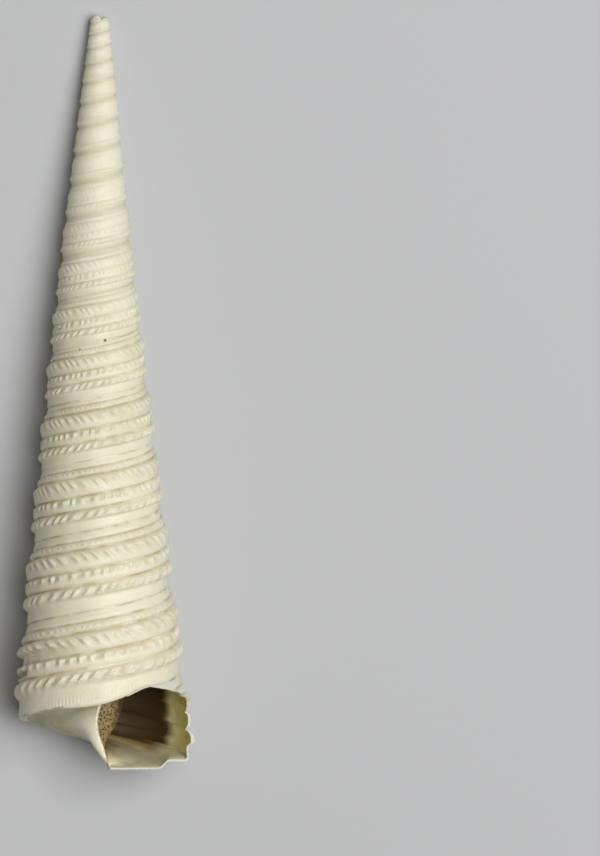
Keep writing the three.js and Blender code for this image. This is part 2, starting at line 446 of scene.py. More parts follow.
rng = np.random.default_rng(7)
NOISE_SIZE = 4096
NOISE_TABLE = rng.uniform(-1, 1, NOISE_SIZE)
HASH_PRIMES = (73856093, 19349663, 83492791)
SEED_PRIME = 2654435
BEAD_STEP = 7  # steps through the noise table, from bead to bead and from cord to cord
CORD_STEP = 911


def smoothstep(low, high, x):
    share = np.clip((x - low) / (high - low), 0, 1)
    return share * share * (3 - 2 * share)


def lerp(a, b, share):
    return a + (b - a) * share


def smooth_min(a, b, width):
    share = np.clip(0.5 + (b - a) / (2 * width), 0, 1)
    return lerp(b, a, share) - width * share * (1 - share)


def smooth_max(a, b, width):
    return -smooth_min(-a, -b, width)


def bell(x, width):
    return np.exp(-((x / width) ** 2))


def along(points, x):
    xs, ys = zip(*points)
    return np.interp(x, xs, ys)


def noise(points, size, seed=0):
    """Smooth noise from -1 to 1 at points, with features of a size."""
    cell = np.floor(points / size).astype(np.int64)
    share = points / size - cell
    share = share * share * (3 - 2 * share)
    total = 0
    for corner in np.ndindex(2, 2, 2):
        key = seed * SEED_PRIME
        for part, prime in zip(np.moveaxis(cell + corner, -1, 0), HASH_PRIMES):
            key = key ^ (part * prime)
        weight = np.prod(np.where(corner, share, 1 - share), axis=-1)
        total = total + weight * NOISE_TABLE[key % NOISE_SIZE]
    return total


def distance_at(turn, angle):
    return EDGE_START * GROWTH ** (turn - angle / 360)


def mean_radius(distance):
    return CONE_SLOPE * distance + CONE_SHIFT


def sway(radius, distance):
    """How far the bent axis carries a point to the right."""
    share = smoothstep(*SWAY_REACH, radius / mean_radius(distance))
    return share * along(SWAY, distance)


def level_edge(angle):
    """Distance of the last whorl's edge, which levels out towards the lip."""
    return smooth_min(distance_at(0, angle), EDGE_LOWEST, LEVEL_WIDTH)


def edge_wave(angle):
    return sum(depth * bell(angle - at, width) for at, width, depth in EDGE_WAVES)


def edge_distance(angle):
    return level_edge(angle) + edge_wave(angle)


def closing(angle):
    """How much the last whorl's rows close up, where its edge levels out."""
    seam = distance_at(-EDGE_PHASE, angle)
    return np.log(level_edge(angle) / seam) / np.log(distance_at(0, angle) / seam)


def row_distance(turn, angle):
    raw = distance_at(turn, angle)
    seam = distance_at(-EDGE_PHASE, angle)
    rows = np.where(turn <= -EDGE_PHASE, raw, seam * (raw / seam) ** closing(angle))
    whole = np.round(turn)
    near_edge = bell(turn - whole, EDGE_WAVE_WIDTH)
    return rows + near_edge * edge_wave(angle - 360 * whole)


def base_threads(radius):
    """Faint spiral threads on the base."""
    window = smoothstep(*THREADS_START, radius) * smoothstep(*THREADS_END, radius)
    return THREAD_HEIGHT * window * np.cos(2 * np.pi * radius / THREAD_SPACING)


def ceiling_distance(angle, radius):
    """The base without its pillar."""
    edge = edge_distance(angle)
    edge_radius = mean_radius(edge) * (1 + relief(EDGE_PHASE, edge))
    sagged = smooth_min(distance_at(0, angle) + BASE_SAG, LIP_DISTANCE, SAG_BLEND)
    return lerp(sagged, edge, smoothstep(SAG_FROM, SAG_TO, radius / edge_radius))


def pillar_distance(radius):
    """The pillar's outline, with its corners rounded off."""
    shifts = np.linspace(-PILLAR_BLUR, PILLAR_BLUR, PILLAR_SAMPLES)
    return sum(along(PILLAR, np.abs(radius + shift)) for shift in shifts) / shifts.size


def base_distance(angle, radius):
    ceiling = ceiling_distance(angle, radius)
    with_pillar = smooth_max(ceiling, pillar_distance(radius), PILLAR_FILLET)
    return np.minimum(with_pillar, LIP_DISTANCE)


def relief_curves():
    """The relief's three curves, sampled by phase and blurred to round cords."""
    phases = np.linspace(0, 1, RELIEF_SAMPLES + 1)[:-1]
    table = np.array(RELIEF)
    kernel = bell(np.minimum(phases, 1 - phases), RELIEF_BLUR)
    kernel_wave = np.fft.fft(kernel / kernel.sum())
    curves = []
    for column in (1, 2, 3):
        sampled = np.interp(phases, table[:, 0], table[:, column])
        curves.append(np.fft.ifft(np.fft.fft(sampled) * kernel_wave).real)
    return phases, curves


RELIEF_PHASES, RELIEF_CURVES = relief_curves()


def drifted(phase, distance):
    """The phase in the relief table that a phase at a distance stands for."""
    return phase + along(CORD_DRIFT, phase) * along(DRIFT_GROWTH, distance)


def relief(phase, distance):
    phase = drifted(phase, distance)
    values = [np.interp(phase, RELIEF_PHASES, curve, period=1) for curve in RELIEF_CURVES]
    tip, middle, mouth = RELIEF_DISTANCES
    upper = lerp(values[0], values[1], smoothstep(tip, middle, distance))
    return lerp(upper, values[2], smoothstep(middle, mouth, distance))


def growth_angle(phase, angle):
    """Angle of the growth line through a point, measured midway down its whorl."""
    return angle + GROWTH_LINE_BOW * (phase - GROWTH_LINE_MIDDLE) ** 2


def strayed(place, cord):
    """A place counted in beads along a cord, with the beads a little out of step."""
    long_wave = BEAD_STRAY * np.sin(place * BEAD_STRAY_RATE + cord)
    return place + long_wave + BEAD_SHORT_STRAY * np.sin(place * BEAD_SHORT_RATE)


def bead_relief(phase, angle, distance):
    """What the gaps between beads take off the relief. The angle goes on past 360."""
    taken = 0
    grown = smoothstep(*BEADS_FADE, distance)
    grown = grown * lerp(BEADS_AT_LIP, 1, smoothstep(*WALL_ANGLES, angle))
    on_cords = drifted(phase, distance)
    for cord, (middle, width, count, depth) in enumerate(BEADED_CORDS):
        place = strayed(growth_angle(on_cords, angle) * count / 360, cord)
        bead = np.floor(place).astype(np.int64)
        gap = 1 - np.sin(np.pi * (place - bead)) ** BEAD_POWER
        uneven = 1 + BEAD_UNEVEN * NOISE_TABLE[(bead * BEAD_STEP + cord * CORD_STEP) % NOISE_SIZE]
        window = np.exp(-(((on_cords - middle) / width) ** 2) * BEAD_WINDOW)
        taken = taken + depth * grown * gap * window * uneven
    return taken


def chipped(phase, angle, heights):
    """The heights, with the chips on the last whorl's left."""
    ragged = phase + sum(depth * np.sin(angle * rate) for depth, rate in CHIP_RAGGED)
    for middle, half, soft, top, low, ground in CHIPS:
        across = smoothstep(*(top + step for step in CHIP_TOP_EDGE), ragged)
        across = across * smoothstep(*(low + step for step in CHIP_LOW_EDGE), ragged)
        reach = smoothstep(half, half - soft, np.abs(angle - middle))
        heights = lerp(heights, np.minimum(heights, ground), across * reach)
    return heights


def near_crease(phases, at):
    """1 where a phase is a crease's, and 0 away from it."""
    return bell((phases - at + 0.5) % 1 - 0.5, CREASE_WIDTH)


def row_turns(rows, whorls):
    """Turns of the mesh rows, crowded at the creases, with a row on every edge."""
    phases = np.linspace(EDGE_PHASE - 1, EDGE_PHASE, ROW_SAMPLES)
    crowding = EVEN_ROWS + sum(CROWDED_ROWS * near_crease(phases, at) for at in CREASES)
    share = np.cumsum(crowding) / crowding.sum()
    share = (share - share[0]) / (share[-1] - share[0])
    steps = np.interp(np.arange(rows) / rows, share, phases) - phases[0]
    turns = np.arange(-whorls, 0)[:, None] + steps[None, :]
    return np.append(turns.ravel(), 0.0)[None, :]


def place_points(angle, radius, distance):
    turned = np.radians(angle)
    bend = PILLAR_BEND * smoothstep(BEND_START, LIP_DISTANCE, distance)
    inner = 1 - smoothstep(BEND_INNER, BEND_OUTER, radius)
    x = radius * np.sin(turned) + bend * inner + sway(radius, distance)
    return np.stack([x, LIP_DISTANCE - distance, radius * np.cos(turned)], axis=-1)


def strips(index):
    """Triangles of a grid of vertex numbers, without those that have no area."""
    a, b = index[:-1, :-1].ravel(), index[:-1, 1:].ravel()
    c, d = index[1:, 1:].ravel(), index[1:, :-1].ravel()
    faces = np.concatenate([np.stack([a, b, c], 1), np.stack([a, c, d], 1)])
    alike = (faces == np.roll(faces, 1, axis=1)).any(axis=1)
    return faces[~alike]


def outwards(points, faces):
    """The faces, turned so that a closed object has them facing out."""
    a, b, c = (points[faces[:, corner]] for corner in range(3))
    volume = np.einsum("ij,ij->", a, np.cross(b, c))
    return faces if volume > 0 else faces[:, ::-1]


def make_object(name, points, faces):
    faces = np.ascontiguousarray(outwards(points, faces))
    mesh = bpy.data.meshes.new(name)
    mesh.vertices.add(len(points))
    mesh.vertices.foreach_set("co", points.astype(np.float32).ravel())
    mesh.loops.add(faces.size)
    mesh.loops.foreach_set("vertex_index", faces.astype(np.int32).ravel())
    mesh.polygons.add(len(faces))
    mesh.polygons.foreach_set("loop_start", np.arange(0, faces.size, 3, dtype=np.int32))
    mesh.update(calc_edges=True)
    made = bpy.data.objects.new(name, mesh)
    bpy.context.scene.collection.objects.link(made)
    return made


def unevenness(angles, radius, distance):
    """Small swellings and dents of the outside, in millimetres."""
    spots = place_points(np.broadcast_to(angles, radius.shape), radius, distance)
    broad = SWELLING * noise(spots, SWELLING_SIZE, 1) * smoothstep(*SWELLING_FADE, distance)
    return broad + DENT * noise(spots, DENT_SIZE, 2)


def outer_radius(angles, turns, phase, distance):
    """Radius of the outside, with its beads, chips, swellings and dents."""
    whorl_angle = angles + 360 * (np.ceil(-EDGE_PHASE - turns - WHORL_MARGIN))
    heights = relief(phase, distance) - bead_relief(phase, whorl_angle, distance)
    heights = chipped(phase, whorl_angle, heights)
    radius = mean_radius(distance) * (1 + heights)
    return radius + unevenness(angles, radius, distance)


def inner_radius(thickness, phase, distance):
    """Radius of the wall's inner side, which shows the relief less."""
    heights = relief(phase, distance)
    above = np.maximum(heights - INSIDE_LEVEL, 0)
    heights = heights - (1 - INSIDE_SHARE) * above
    return mean_radius(distance) * (1 + heights) - thickness


def capped(angles, radius, distance, top, top_drop):
    """Draws the rows above the top's rim in to its middle, and says how far out each is."""
    cap_start = CAP_START * top
    rim = top + top_drop(angles, np.ones_like(angles, dtype=float))
    share = np.clip((distance - cap_start) / (rim - cap_start), 0, 1)
    on_cap = distance < rim
    radius = np.where(on_cap, mean_radius(rim) * CAP_WIDTH * share, radius)
    distance = np.where(on_cap, top + top_drop(angles, share), distance)
    return radius, distance, share


def base_rows(angles, edge_radius, thickness, is_hollow):
    """Radius and distance of the base's rows, from the edge in to the axis."""
    radius = edge_radius * np.linspace(1, 0, BASE_ROWS + 1)[None, 1:]
    distance = base_distance(angles, radius) - BASE_WALL * thickness
    if not is_hollow:
        return radius, np.minimum(distance + base_threads(radius), LIP_DISTANCE)
    behind_lip = np.maximum(FLOOR_FRONT - radius * np.cos(np.radians(angles)), 0)
    return radius, distance - FLOOR_RISE * (1 - np.exp(-behind_lip / FLOOR_REACH))


def body_faces(index, count, rows):
    """Faces over the whorls' rows, of which there are count, and the base's rows after them.

    The last column of every whorl is the first column of the whorl below it, and a step in
    the last edge joins the first and the last column under it.
    """
    index[-1, rows:count] = index[0, : count - rows]
    index[:, -1] = index[0, -1]
    first, last = index[0], index[-1]
    rim = first[count - 1 - rows : count + 1]
    hub = np.full(rim.size, last[count])
    step = np.stack([last[count:], first[count:]])
    return np.concatenate([strips(index), strips(np.stack([hub, rim])), strips(step)])


def body(name, columns, rows, whorls, top, top_drop, inset=None):
    """The whorls and the base as one closed object, cut off at a distance from the top.

    An inset makes it smaller by a thickness that depends on the angle, for the hollow.
    """
    angles = STEP_ANGLE + np.arange(columns + 1)[:, None] * 360 / columns
    turns = row_turns(rows, whorls)
    phase = (turns + EDGE_PHASE) % 1
    distance = row_distance(turns, angles)
    if inset is None:
        thickness = 0
        radius = outer_radius(angles, turns, phase, distance)
    else:
        thickness = inset(angles)
        radius = inner_radius(thickness, phase, distance)
        distance = distance - thickness * smoothstep(INSET_START, EDGE_PHASE, phase)
    radius, distance, cap_share = capped(angles, radius, distance, top, top_drop)
    base_radius, base = base_rows(angles, radius[:, -1:], thickness, inset is not None)
    shape = (columns + 1, turns.size + BASE_ROWS)
    points = place_points(
        np.broadcast_to(angles, shape),
        np.concatenate([radius, base_radius], axis=1),
        np.concatenate([distance, base], axis=1),
    )
    index = np.arange(shape[0] * shape[1]).reshape(shape)
    index[:, : turns.size][cap_share == 0] = 0
    return make_object(name, points.reshape(-1, 3), body_faces(index, turns.size, rows))


def between_slices(name, near, far):
    """A closed object between grids of near and far points, one row for each slice."""
    slices, count = near.shape[:2]
    ring = np.concatenate([near, far[:, ::-1]], axis=1)
    index = np.arange(slices * count * 2).reshape(slices, count * 2)
    around = np.concatenate([index, index[:, :1]], axis=1)
    faces = [strips(around)]
    for end, flip in ((index[0], 1), (index[-1], -1)):
        cap = strips(np.stack([end[:count], end[: count - 1 : -1]]))
        faces.append(cap[:, ::-flip])
    return make_object(name, ring.reshape(-1, 3), np.concatenate(faces))


def under_old_base():
    """All space under the base of the whorl before the last."""
    radii = np.append(np.linspace(0, 1, HOLLOW_RINGS) * HOLLOW_RADIUS, OUTSIDE)[None, :]
    shares = np.linspace(0, 1, HOLLOW_SLICES)[:, None]
    angles = lerp(HOLLOW_START, HOLLOW_END, shares) + 0 * radii
    reach = np.minimum(radii, mean_radius(edge_distance(angles + 360)))
    near = place_points(angles, radii, ceiling_distance(angles + 360, reach) + CALLUS)
    far = place_points(angles, radii, np.full_like(angles, LIP_DISTANCE + OUTSIDE))
    return between_slices("under_old_base", near, far)


def sand_grains(spots, distance):
    """How far the sand stands out from the column, in millimetres."""
    grains = np.abs(noise(spots, COARSE_GRAIN, 5)) + FINE_SHARE * noise(spots, FINE_GRAIN, 6)
    sandy = smoothstep(CRUST_END, CRUST_END - CRUST_FADE, distance)
    return CRUST_GRAIN * sandy * (grains - GRAIN_LEVEL)


def column():
    """The pillar inside the hollow, with the sand that sticks to it."""
    distances = np.linspace(COLUMN[0][0], COLUMN[-1][0], COLUMN_SLICES)[:, None]
    turned = np.linspace(COLUMN_SLIT, 180 - COLUMN_SLIT, COLUMN_SIDES)[None, :]
    halves = []
    for sign in (1, -1):
        angles = -90 + sign * turned
        distance = distances + 0 * angles
        bulge = COLUMN_BULGE * np.maximum(np.sin(np.radians(angles)), 0) ** 2
        radius = along(COLUMN, distance) * (1 + bulge)
        spots = place_points(angles + 0 * distance, radius, distance)
        radius = radius + sand_grains(spots, distance)
        halves.append(place_points(angles + 0 * distance, radius, distance))
    return between_slices("column", *halves)


def left_of_mouth():
    """All space in front of the axis that is left of the mouth's edge."""
    distances = np.linspace(*MOUTH_REACH, MOUTH_SLICES)
    edge = along(MOUTH_EDGE, distances)
    z = np.broadcast_to(np.array([0.0, OUTSIDE])[:, None], (2, distances.size))
    y = np.broadcast_to(LIP_DISTANCE - distances, z.shape)
    near = np.stack([np.full_like(z, -OUTSIDE), y, z], axis=-1)
    far = np.stack([np.broadcast_to(edge, z.shape), y, z], axis=-1)
    return between_slices("left_of_mouth", near, far)


def before_lip():
    """All space in front of the lip, from the axis to the right."""
    distances = np.linspace(LIP[0][0], LIP[-1][0], LIP_SLICES)
    spots = np.stack([distances * 0, distances, distances * 0], axis=-1)
    edge = along(LIP, distances) + LIP_JITTER * noise(spots, LIP_JITTER_SIZE)
    x = np.broadcast_to(np.array([OUTSIDE, LIP_LEFT])[:, None], (2, distances.size))
    y = np.broadcast_to(LIP_DISTANCE - distances, x.shape)
    near = np.stack([x, y, np.broadcast_to(edge, x.shape)], axis=-1)
    far = np.stack([x, y, np.full_like(x, OUTSIDE)], axis=-1)
    return between_slices("before_lip", near, far)


def apply_modifier(target, modifier):
    """Puts the mesh that the modifier makes in the place of the target's own."""
    depsgraph = bpy.context.evaluated_depsgraph_get()
    made = bpy.data.meshes.new_from_object(target.evaluated_get(depsgraph))
    target.modifiers.remove(modifier)
    old = target.data
    target.data = made
    bpy.data.meshes.remove(old)


def combine(target, tool, operation):
    """Joins or cuts two closed objects into the first, and removes the second."""
    modifier = target.modifiers.new(operation, "BOOLEAN")
    modifier.operation = operation
    modifier.solver = "MANIFOLD"
    modifier.object = tool
    modifier.material_mode = "TRANSFER"
    apply_modifier(target, modifier)
    bpy.data.meshes.remove(tool.data)
    return target


def broken_tip(angles, share):
    """How far the broken tip lies under its highest point, with a hollow in its middle."""
    across = np.sin(np.radians(angles)) * share
    rim = along(TIP_RIM, across)
    return rim + TIP_HOLLOW * (1 - share**2)


def flat(angles, share):
    return 0 * share


def wall_thickness(angles):
    return lerp(LIP_WALL, WALL, smoothstep(*WALL_ANGLES, angles))


def build_shell(outer_material, inner_material):
    outside = body("shell", COLUMNS, ROWS, WHORLS, TIP_DISTANCE, broken_tip)
    inside = body("inside", INSIDE_COLUMNS, INSIDE_ROWS, INSIDE_WHORLS, INSIDE_TOP, flat, wall_thickness)
    hollow = combine(under_old_base(), column(), "DIFFERENCE")
    hollow = combine(hollow, left_of_mouth(), "DIFFERENCE")
    hollow = combine(hollow, combine(inside, before_lip(), "UNION"), "INTERSECT")
    outside.data.materials.append(outer_material)
    hollow.data.materials.clear()
    hollow.data.materials.append(inner_material)
    return combine(outside, hollow, "DIFFERENCE")


def thin_out(target, most):
    """Merges the least needed corners until no more than so many triangles are left."""
    modifier = target.modifiers.new("thin_out", "DECIMATE")
    modifier.ratio = min(1, most / len(target.data.polygons))
    modifier.use_collapse_triangulate = True
    apply_modifier(target, modifier)


def read_points(mesh):
    points = np.zeros(len(mesh.vertices) * 3, np.float32)
    mesh.vertices.foreach_get("co", points)
    return points.reshape(-1, 3).astype(float)


def straightened(points):
    """The points' X, as it would be on a straight axis."""
    radius = np.hypot(points[:, 0], points[:, 2])
    return points[:, 0] - sway(radius, LIP_DISTANCE - points[:, 1])


def turn_at(distance, angle):
    """The spiral line through a point on the whorls."""
    seam = distance_at(-EDGE_PHASE, angle)
    closed = np.maximum(distance / seam, 1) ** (1 / closing(angle)) * seam
    raw = np.where(distance > seam, closed, distance)
    return np.log(raw / EDGE_START) / np.log(GROWTH) + angle / 360


def unwind(angle):
    """The angle in degrees, counted on from the first column."""
    return (angle - STEP_ANGLE) % 360 + STEP_ANGLE


def add_spiral_map(mesh):
    """A UV map that holds the growth line, in turns, and the phase of every corner."""
    points = read_points(mesh)
    points[:, 0] = straightened(points)
    faces = np.zeros(len(mesh.loops), np.int32)
    mesh.loops.foreach_get("vertex_index", faces)
    corners = points[faces.reshape(-1, 3)]
    middles = corners.mean(axis=1)
    middle_angle = unwind(np.degrees(np.arctan2(middles[:, 0], middles[:, 2])))
    angle = np.degrees(np.arctan2(corners[..., 0], corners[..., 2]))
    angle = middle_angle[:, None] + (angle - middle_angle[:, None] + 180) % 360 - 180
    distance = np.maximum(LIP_DISTANCE - corners[..., 1], SMALLEST_DISTANCE)
    middle_distance = LIP_DISTANCE - middles[:, 1]
    whorl = np.ceil(-EDGE_PHASE - turn_at(middle_distance, middle_angle))[:, None]
    phase = turn_at(distance, angle) + EDGE_PHASE + whorl
    radius = np.hypot(corners[..., 0], corners[..., 2])
    middle_radius = np.hypot(middles[:, 0], middles[:, 2])
    on_base = (middle_radius < BASE_PART * mean_radius(middle_distance))[:, None]
    base_phase = 2 - radius / mean_radius(edge_distance(angle))
    phase = np.where(on_base, base_phase, phase)
    growth = np.where(on_base, angle, growth_angle(phase, angle + 360 * whorl)) / 360
    layer = mesh.uv_layers.new(name=SPIRAL_MAP)
    layer.data.foreach_set("uv", np.stack([growth, phase], axis=-1).astype(np.float32).ravel())


def add_number(mesh, name, values):
    attribute = mesh.attributes.new(name, "FLOAT", "POINT")
    attribute.data.foreach_set("value", values.astype(np.float32))


def dirt_and_shade_in_grooves(phase, radius, distance):
    """From 0 to 1, how much dirt and painted shade a vertex holds in the grooves and other hollows."""
    on_cords = drifted(phase, distance)
    near_groove = sum(bell(on_cords - at, GROOVE_WIDTH) for at in GROOVES)
    height = radius / np.maximum(mean_radius(distance), SMALLEST_RADIUS) - 1
    deep = smoothstep(*DEEP_SPREAD, relief(phase, distance) - DEEP_LEVEL - height)
    # painted shade where the surface sinks below the relief, in bead gaps, chips and dents
    return np.clip(near_groove + DEEP_SHARE * deep, 0, 1)


def add_outer_numbers(mesh, points):
    """What the outer material reads at each vertex, from 0 to 1."""
    distance = LIP_DISTANCE - points[:, 1]
    straight_x = straightened(points)
    radius = np.hypot(straight_x, points[:, 2])
    angle = np.degrees(np.arctan2(straight_x, points[:, 2]))
    phase = (turn_at(distance, unwind(angle)) + EDGE_PHASE) % 1
    outside = radius > OUTSIDE_PART * mean_radius(distance)
    grown = smoothstep(*GROWN, distance)
    add_number(mesh, "grown", grown)
    at_front = smoothstep(*FRONT, np.cos(np.radians(angle)))
    dirt_and_shade = outside * grown * lerp(BACK_DIRT_AND_SHADE, 1, at_front)
    add_number(mesh, "groove_dirt_and_shade", dirt_and_shade * dirt_and_shade_in_grooves(phase, radius, distance))
    seam_phase = lerp(*SEAM_PHASES, smoothstep(*RELIEF_DISTANCES[1:], distance))
    from_seam = np.abs((phase - seam_phase + 0.5) % 1 - 0.5)
    add_number(mesh, "seam", outside * grown * smoothstep(*SEAM_SPREAD, from_seam))
    # painted shade on the seams of the upper whorls
    wide_seam_shade = UPPER_SEAM_SHADE * bell(from_seam, UPPER_SEAM_SHADE_WIDTH)
    add_number(mesh, "upper_seam_shade", outside * (1 - grown) * wide_seam_shade)
    thin = smoothstep(*THIN_ANGLES, unwind(angle)) * smoothstep(*THIN_DISTANCES, distance)
    add_number(mesh, "thin", outside * thin)
    add_number(mesh, "ribbed", smoothstep(*RIBBED, distance))


def floor_line(angle):
    """Distance at which the mouth's back wall meets its floor."""
    return edge_distance(angle % 360) - FLOOR_LINE


def add_inner_numbers(mesh, points):
    """What the inner material reads at each vertex, from 0 to 1."""
    x, z = points[:, 0], points[:, 2]
    distance = LIP_DISTANCE - points[:, 1]
    straight_x = straightened(points)
    radius = np.hypot(straight_x, z)
    angle = np.degrees(np.arctan2(straight_x, z))
    on_column = smoothstep(*COLUMN_SHADE, radius)
    # painted light by the lip turns to painted shade deeper in and on the column
    add_number(mesh, "depth", np.maximum(smoothstep(*DEEP_INSIDE, angle % 360), on_column))
    add_number(mesh, "corner", smoothstep(*CORNER, x))
    below_line = distance - floor_line(angle)
    add_number(mesh, "floor", np.clip(below_line / FLOOR_DEPTH, 0, 1))
    jagged = sum(height * noise(points, size, seed) for height, size, seed in JAGGED)
    reach = CRUST_RADIUS + CRUST_SPILL * bell(below_line, SPILL_WIDTH)
    sandy = smoothstep(reach + CRUST_SOFT, reach - CRUST_SOFT, radius + jagged)
    add_number(mesh, "crust", sandy * smoothstep(*CRUST_STOP, distance + jagged))
    add_number(mesh, "shaded", smoothstep(*CRUST_SHADE, x + jagged))
    from_lip = np.abs(z - along(LIP, distance))
    at_lip = (radius > RIM_RADIUS) | (distance > RIM_DISTANCE)
    add_number(mesh, "rim", smoothstep(*RIM_SPREAD, from_lip) * (x > 0) * at_lip)
    from_edge = x - along(MOUTH_EDGE, distance)
    add_number(mesh, "enamel", smoothstep(*ENAMEL_SPREAD, from_edge) * (z > 0))


def laid(x, y, z):
    """Where a point of the shell's own frame lies, in metres."""
    return POSE @ Vector((x, y, z)) * MM


def lay(target):
    """From the shell's own frame to where it lies, in metres, with its worn flats."""
    target.data.transform(Matrix.Scale(MM, 4) @ POSE)
    points = read_points(target.data)
    points[:, 2] = np.maximum(points[:, 2], 0)
    target.data.vertices.foreach_set("co", points.astype(np.float32).ravel())
    target.data.update()


def add(tree, kind, inputs=(), **settings):
    """A new shader node. An input takes a value, or another node's output to link."""
    node = tree.nodes.new("ShaderNode" + kind)
    for name, value in settings.items():
        setattr(node, name, value)
    for name, value in dict(inputs).items():
        if isinstance(value, bpy.types.NodeSocket):
            tree.links.new(value, node.inputs[name])
        else:
            node.inputs[name].default_value = value
    return node


def number(tree, name):
    return add(tree, "Attribute", attribute_name=name).outputs["Fac"]


def compute(tree, operation, first, *others):
    """An operation on the first value and each of the others in turn."""
    for other in others or (0.0,):
        first = add(tree, "Math", {0: first, 1: other}, operation=operation).outputs[0]
    return first


def spread(tree, value, low, high, to_low=0.0, to_high=1.0):
    """Maps a range of a value to another range, with soft ends."""
    inputs = {"Value": value, "From Min": low, "From Max": high}
    inputs |= {"To Min": to_low, "To Max": to_high}
    return add(tree, "MapRange", inputs, interpolation_type="SMOOTHSTEP").outputs["Result"]


def blend_colours(tree, share, a, b):
    node = add(tree, "Mix", {0: share, 6: a, 7: b}, data_type="RGBA")
    return node.outputs[2]


def texture(tree, vector, size, detail=3.0):
    inputs = {"Vector": vector, "Scale": 1 / (size * MM), "Detail": detail}
    return add(tree, "TexNoise", inputs).outputs["Fac"]


def patches(tree, place, size, low, high, to_low=0.0, to_high=1.0, detail=3.0):
    """Soft patches of a size. A range of the noise maps to a range of shares."""
    return spread(tree, texture(tree, place, size, detail), low, high, to_low, to_high)


def stretched_noise(tree, vector, stretch):
    stretched = add(tree, "VectorMath", {0: vector, 1: stretch}, operation="MULTIPLY")
    inputs = {"Vector": stretched.outputs[0], "Scale": 1.0, "Detail": 2.0}
    return add(tree, "TexNoise", inputs).outputs["Fac"]


def new_material(name, roughness):
    material = bpy.data.materials.new(name)
    material.use_nodes = True
    tree = material.node_tree
    shader = tree.nodes["Principled BSDF"]
    shader.inputs["Roughness"].default_value = roughness
    return material, tree, shader


def add_bump(tree, shader, height, depth):
    bump = add(tree, "Bump", {"Height": height, "Distance": depth * MM, "Strength": 1.0})
    tree.links.new(bump.outputs["Normal"], shader.inputs["Normal"])


def let_light_through(shader):
    """Light passes through the thin wall, so the inner side of the lip isn't dark."""
    shader.inputs["Subsurface Weight"].default_value = TRANSLUCENCE
    shader.inputs["Subsurface Radius"].default_value = LIGHT_RADIUS
    shader.inputs["Subsurface Scale"].default_value = LIGHT_DEPTH * MM


def cream_colour(tree, place):
    """The shell's own colour, a little grey in patches."""
    base = blend_colours(tree, texture(tree, place, size=5.0), CREAM, PALE_CREAM)
    grey = patches(tree, place, size=2.2, low=0.5, high=0.75, to_high=0.35, detail=4.0)
    return blend_colours(tree, grey, base, GREY_CREAM)


def add_dirt_and_shade(tree, place, base):
    """Dirt and painted shade in the grooves, dirt in the seam, and painted shade on the seams near the
    tip.
    """
    groove_patches = patches(tree, place, size=1.2, low=0.35, high=0.65, to_low=0.3, detail=5.0)
    groove_dirt_and_shade = compute(tree, "MULTIPLY", number(tree, "groove_dirt_and_shade"), groove_patches)
    base = blend_colours(tree, groove_dirt_and_shade, base, GROOVE_DIRT_AND_SHADE)
    stains = patches(tree, place, size=1.6, low=0.42, high=0.62, detail=5.0)
    seam = compute(tree, "MULTIPLY", number(tree, "seam"), stains)
    base = blend_colours(tree, seam, base, SEAM_DIRT_AND_SHADE)
    return blend_colours(tree, number(tree, "upper_seam_shade"), base, SEAM_DIRT_AND_SHADE)


def add_base_stain_and_shade(tree, place, phase, base):
    """The stain and painted shade on the base, and the enamel nearer to the pillar."""
    start = spread(tree, phase, *STAIN_AND_SHADE_START)
    end = spread(tree, phase, *STAIN_AND_SHADE_END)
    cloudy = patches(tree, place, size=2.5, low=0.3, high=0.6, to_low=0.6)
    stain_and_shade = compute(tree, "MULTIPLY", start, end, cloudy)
    base = blend_colours(tree, stain_and_shade, base, BASE_STAIN_AND_SHADE)
    return blend_colours(tree, spread(tree, phase, *ENAMEL_PHASES), base, ENAMEL)


def add_specks(tree, place, base):
    for angle, distance, size, speck_colour in SPECKS:
        phase = (turn_at(distance, angle % 360) + EDGE_PHASE) % 1
        radius = mean_radius(distance) * (1 + relief(phase, distance))
        spot = laid(*place_points(angle, radius, distance))
        away = add(tree, "VectorMath", {0: place, 1: spot}, operation="DISTANCE").outputs["Value"]
        speck = spread(tree, away, SPECK_OUTER * size * MM, SPECK_INNER * size * MM)
        base = blend_colours(tree, speck, base, speck_colour)
    return base


def fine_ribs(tree, place, growth, phase):
    """Ribs just above the last whorl's lower seam, from -1 to 1."""
    bow = compute(tree, "SUBTRACT", phase, GROWTH_LINE_MIDDLE)
    bow = compute(tree, "MULTIPLY", bow, bow, GROWTH_LINE_BOW / 360)
    straight = compute(tree, "SUBTRACT", growth, bow)
    ribs = compute(tree, "SINE", compute(tree, "MULTIPLY", straight, RIBS * 2 * math.pi))
    start = spread(tree, phase, *RIBS_START)
    end = spread(tree, phase, *RIBS_END)
    worn = patches(tree, place, size=2.5, low=0.4, high=0.65, to_low=0.2)
    return compute(tree, "MULTIPLY", ribs, start, end, number(tree, "ribbed"), worn)


def fine_relief(tree, place, spiral, growth, phase):
    """Growth lines, threads, grain and ribs that are too fine for the mesh."""
    lines = stretched_noise(tree, spiral, LINE_STRETCH)
    grown = spread(tree, number(tree, "grown"), 0.0, 1.0, to_low=0.3)
    threads = compute(tree, "MULTIPLY", stretched_noise(tree, spiral, THREAD_STRETCH), grown)
    grain = compute(tree, "MULTIPLY", texture(tree, place, size=0.12), GRAIN_SHARE)
    ribs = compute(tree, "MULTIPLY", fine_ribs(tree, place, growth, phase), RIB_SHARE)
    return compute(tree, "ADD", lines, threads, grain, ribs)


